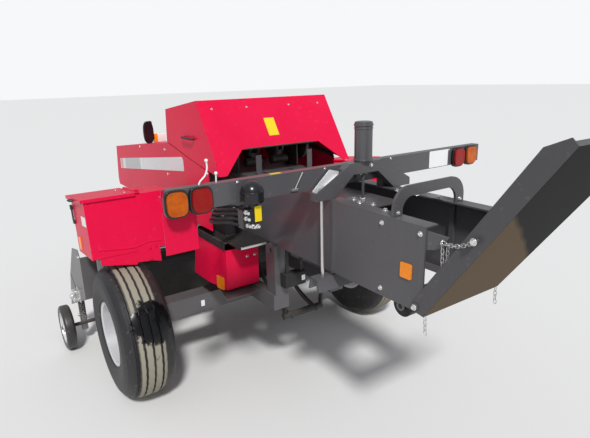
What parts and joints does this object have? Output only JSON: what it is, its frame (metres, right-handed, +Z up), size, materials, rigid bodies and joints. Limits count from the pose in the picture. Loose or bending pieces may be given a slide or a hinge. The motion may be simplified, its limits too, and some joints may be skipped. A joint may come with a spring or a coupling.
{
  "type": "square baler",
  "caption": "Trailed centre-line square baler, parked on its jack: covered knotters, open bale chamber with folded chute, lamp bar, twine boxes and tined pickup.",
  "frame": {"origin": "on the ground at the middle of the whole machine's box", "axes": "+Y forwards along the drawbar, +X the machine's right side, +Z up"},
  "size_m": [2.574, 5.2138, 1.852],
  "materials": {
    "red_paint": "satin crimson paint, dusty",
    "grey_paint": "satin charcoal paint, dusty",
    "pickup_grey": "satin charcoal paint",
    "zinc": "zinc plated",
    "bare_steel": "worn bare steel",
    "dark_iron": "oily cast iron",
    "black_plastic": "matt black",
    "amber_lens": "moulded lens",
    "red_lens": "moulded lens",
    "silver_paint": "silver paint",
    "tyre_rubber": "dusty rubber",
    "wheel_rubber": "dusty rubber"
  },
  "bodies": {
    "frame": {"chassis": "grey_paint", "drawbar_neck": "grey_paint", "drawbar": "grey_paint", "hitch": "grey_paint", "bale_chamber": "grey_paint", "rear_arch": "grey_paint", "tension_yoke": "grey_paint", "tension_cylinder": "grey_paint", "tie_rods": "zinc", "tension_channel": "grey_paint", "tension_plate": "grey_paint", "lamp_bar": "grey_paint", "lamp_housings": "black_plastic", "amber_lamps": "amber_lens", "red_lamps": "red_lens", "lamp_plate": "red_paint", "density_valve": "black_plastic", "valve_platform": "dark_iron", "guard_box": "red_paint", "knotters": "bare_steel", "side_covers": "red_paint", "front_cover": "red_paint", "cover_brackets": "grey_paint", "twine_box_left": "red_paint", "twine_box_right": "red_paint", "gearbox": "dark_iron", "jack_tube": "grey_paint", "feed_housing": "grey_paint", "front_markers": "black_plastic"},
    "wheel_left": {"tyre_left": "tyre_rubber", "rim_left": "silver_paint"},
    "wheel_right": {"tyre_right": "tyre_rubber", "rim_right": "silver_paint"},
    "chute_door": {"chute": "grey_paint"},
    "outlet_roller": {"rear_roller": "dark_iron"},
    "ram": {"plunger": "dark_iron"},
    "hood": {"knotter_hood": "red_paint"},
    "lid_left": {"twine_lid_left": "red_paint"},
    "lid_right": {"twine_lid_right": "red_paint"},
    "needles": {"needle_yoke": "grey_paint"},
    "flywheel_body": {"flywheel": "red_paint"},
    "driveline": {"pto_shaft": "black_plastic"},
    "stand": {"jack_leg": "zinc"},
    "pickup": {"pickup_frame": "grey_paint", "pickup_shields": "pickup_grey", "stripper_bands": "bare_steel"},
    "reel": {"pickup_reel": "bare_steel"},
    "guard": {"wind_guard": "grey_paint"},
    "gauge_left": {"gauge_wheel_left": "wheel_rubber"},
    "gauge_right": {"gauge_wheel_right": "wheel_rubber"}
  },
  "joints": [
    {"name": "wheel_left_spin", "type": "hinge", "parent": "frame", "child": "wheel_left", "pos_m": [-0.976, -0.31311, 0.435], "axis": [1, 0, 0], "continuous": true},
    {"name": "wheel_right_spin", "type": "hinge", "parent": "frame", "child": "wheel_right", "pos_m": [0.976, -0.31311, 0.435], "axis": [1, 0, 0], "continuous": true},
    {"name": "chute_hinge", "type": "hinge", "parent": "frame", "child": "chute_door", "pos_m": [0, -2.03611, 1.038], "axis": [1, 0, 0], "range_deg": [0, 60]},
    {"name": "outlet_roller_spin", "type": "hinge", "parent": "frame", "child": "outlet_roller", "pos_m": [0, -1.93811, 0.998], "axis": [1, 0, 0], "continuous": true},
    {"name": "hood_hinge", "type": "hinge", "parent": "frame", "child": "hood", "pos_m": [0, 0.06889, 1.566], "axis": [1, 0, 0], "range_deg": [-70, 0]},
    {"name": "lid_left_hinge", "type": "hinge", "parent": "frame", "child": "lid_left", "pos_m": [-0.835, -0.14445, 1.30487], "axis": [0, 0.9942, -0.108], "range_deg": [0, 85]},
    {"name": "lid_right_hinge", "type": "hinge", "parent": "frame", "child": "lid_right", "pos_m": [0.835, -0.14445, 1.30487], "axis": [0, -0.9942, 0.108], "range_deg": [0, 85]},
    {"name": "plunger_stroke", "type": "slide", "parent": "frame", "child": "ram", "axis": [0, 1, 0], "range_m": [-0.52, 0]},
    {"name": "needle_swing", "type": "hinge", "parent": "frame", "child": "needles", "pos_m": [0, -0.89811, 0.972], "axis": [1, 0, 0], "range_deg": [0, 72]},
    {"name": "flywheel_spin", "type": "hinge", "parent": "frame", "child": "flywheel_body", "pos_m": [0, 1.05689, 1.1], "axis": [0, 1, 0], "continuous": true},
    {"name": "driveline_spin", "type": "hinge", "parent": "frame", "child": "driveline", "pos_m": [0, 1.22489, 1.1], "axis": [0, 0.9681, -0.2504], "continuous": true},
    {"name": "jack_slide", "type": "slide", "parent": "frame", "child": "stand", "axis": [0, 0, 1], "range_m": [-0.12, 0]},
    {"name": "pickup_lift", "type": "hinge", "parent": "frame", "child": "pickup", "pos_m": [0, -0.11311, 0.76], "axis": [1, 0, 0], "range_deg": [0, 12]},
    {"name": "reel_spin", "type": "hinge", "parent": "pickup", "child": "reel", "pos_m": [0, 0.50689, 0.35], "axis": [1, 0, 0], "continuous": true},
    {"name": "wind_guard_float", "type": "hinge", "parent": "pickup", "child": "guard", "pos_m": [0, 0.25689, 0.755], "axis": [1, 0, 0], "range_deg": [0, 10]},
    {"name": "gauge_left_spin", "type": "hinge", "parent": "pickup", "child": "gauge_left", "pos_m": [-1.247, 0.52689, 0.17], "axis": [1, 0, 0], "continuous": true},
    {"name": "gauge_right_spin", "type": "hinge", "parent": "pickup", "child": "gauge_right", "pos_m": [1.247, 0.52689, 0.17], "axis": [1, 0, 0], "continuous": true}
  ]
}
